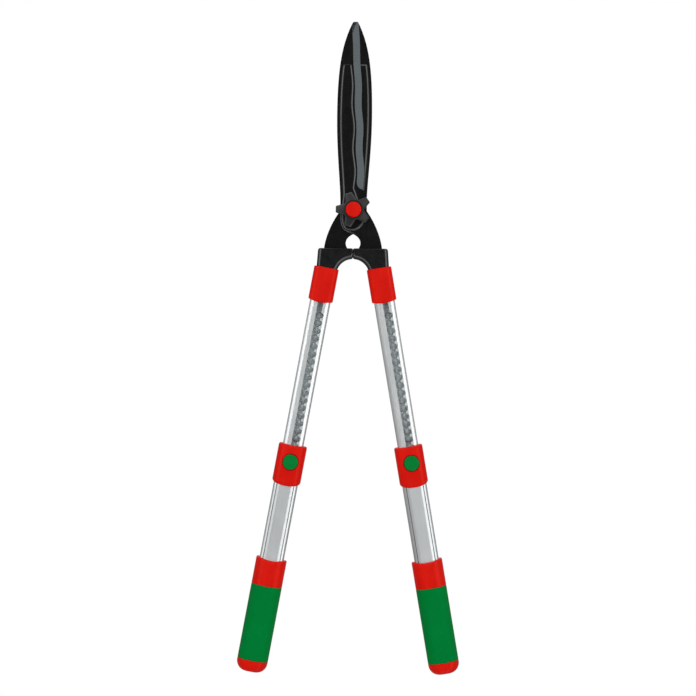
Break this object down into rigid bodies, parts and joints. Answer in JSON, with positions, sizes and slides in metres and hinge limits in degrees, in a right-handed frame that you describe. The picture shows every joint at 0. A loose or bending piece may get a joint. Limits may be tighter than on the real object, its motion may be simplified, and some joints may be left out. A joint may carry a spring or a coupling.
{
  "type": "hedge shears",
  "caption": "Telescopic hedge shears: coated wavy blades on a star-knob pivot, black bumpers, notched sliding aluminium arms with push-button locks, and soft green grips.",
  "frame": {"origin": "apex of the hanging notch between the two tangs, midway between the blades' meeting faces", "axes": "+Z towards the blade tips with the handles hanging down, +X to the right seen from the knob's side, -Y towards the front (knob and buttons)"},
  "size_m": [0.2836, 0.0343, 0.831],
  "materials": {
    "coated_blade": "satin non-stick coating",
    "black_plastic": "moulded satin",
    "red_plastic": "moulded semi-gloss",
    "green_button": "moulded semi-gloss",
    "grip_rubber": "soft-touch",
    "tube_aluminium": "extruded, satin",
    "zinc_steel": "zinc plated",
    "bronze": "turned",
    "grey_plastic": "moulded"
  },
  "bodies": {
    "left_upper": {"rear_blade": "coated_blade", "pivot_bolt": "zinc_steel", "left_bumper": "black_plastic", "left_tang_rivet_1": "zinc_steel", "left_tang_rivet_2": "zinc_steel", "left_top_collar": "red_plastic", "left_inner_tube": "tube_aluminium", "left_guide_bush": "grey_plastic", "thrust_washer": "zinc_steel", "spring_washer": "zinc_steel"},
    "right_upper": {"front_blade": "coated_blade", "pivot_bush": "bronze", "right_bumper": "black_plastic", "right_tang_rivet_1": "zinc_steel", "right_tang_rivet_2": "zinc_steel", "right_top_collar": "red_plastic", "right_inner_tube": "tube_aluminium", "right_guide_bush": "grey_plastic"},
    "knob": {"star_knob": "black_plastic", "knob_insert": "bronze", "knob_cap": "red_plastic"},
    "left_lower": {"left_outer_tube": "tube_aluminium", "left_lock_collar": "red_plastic", "left_collar_screw": "zinc_steel", "left_handle_core": "red_plastic", "left_grip_sleeve": "grip_rubber", "left_button_spring": "zinc_steel"},
    "right_lower": {"right_outer_tube": "tube_aluminium", "right_lock_collar": "red_plastic", "right_collar_screw": "zinc_steel", "right_handle_core": "red_plastic", "right_grip_sleeve": "grip_rubber", "right_button_spring": "zinc_steel"},
    "left_push_button": {"left_button": "green_button", "left_lock_pin": "zinc_steel"},
    "right_push_button": {"right_button": "green_button", "right_lock_pin": "zinc_steel"}
  },
  "joints": [
    {"name": "blade_pivot", "type": "hinge", "parent": "left_upper", "child": "right_upper", "pos_m": [0, 0, 0.0307], "axis": [0, -1, 0], "range_deg": [0, 60]},
    {"name": "left_telescope", "type": "slide", "parent": "left_upper", "child": "left_lower", "axis": [0.1736, 0, 0.9848], "range_m": [0, 0.18]},
    {"name": "right_telescope", "type": "slide", "parent": "right_upper", "child": "right_lower", "axis": [-0.1736, 0, 0.9848], "range_m": [0, 0.18]},
    {"name": "knob_turn", "type": "hinge", "parent": "left_upper", "child": "knob", "pos_m": [0, 0, 0.0307], "axis": [0, -1, 0], "range_deg": [-45, 315]},
    {"name": "left_button_press", "type": "slide", "parent": "left_lower", "child": "left_push_button", "axis": [0, 1, 0], "range_m": [0, 0.003], "stiffness_N_per_m": 400, "springref_m": -0.004, "deforming": ["left_button_spring"]},
    {"name": "right_button_press", "type": "slide", "parent": "right_lower", "child": "right_push_button", "axis": [0, 1, 0], "range_m": [0, 0.003], "stiffness_N_per_m": 400, "springref_m": -0.004, "deforming": ["right_button_spring"]}
  ]
}
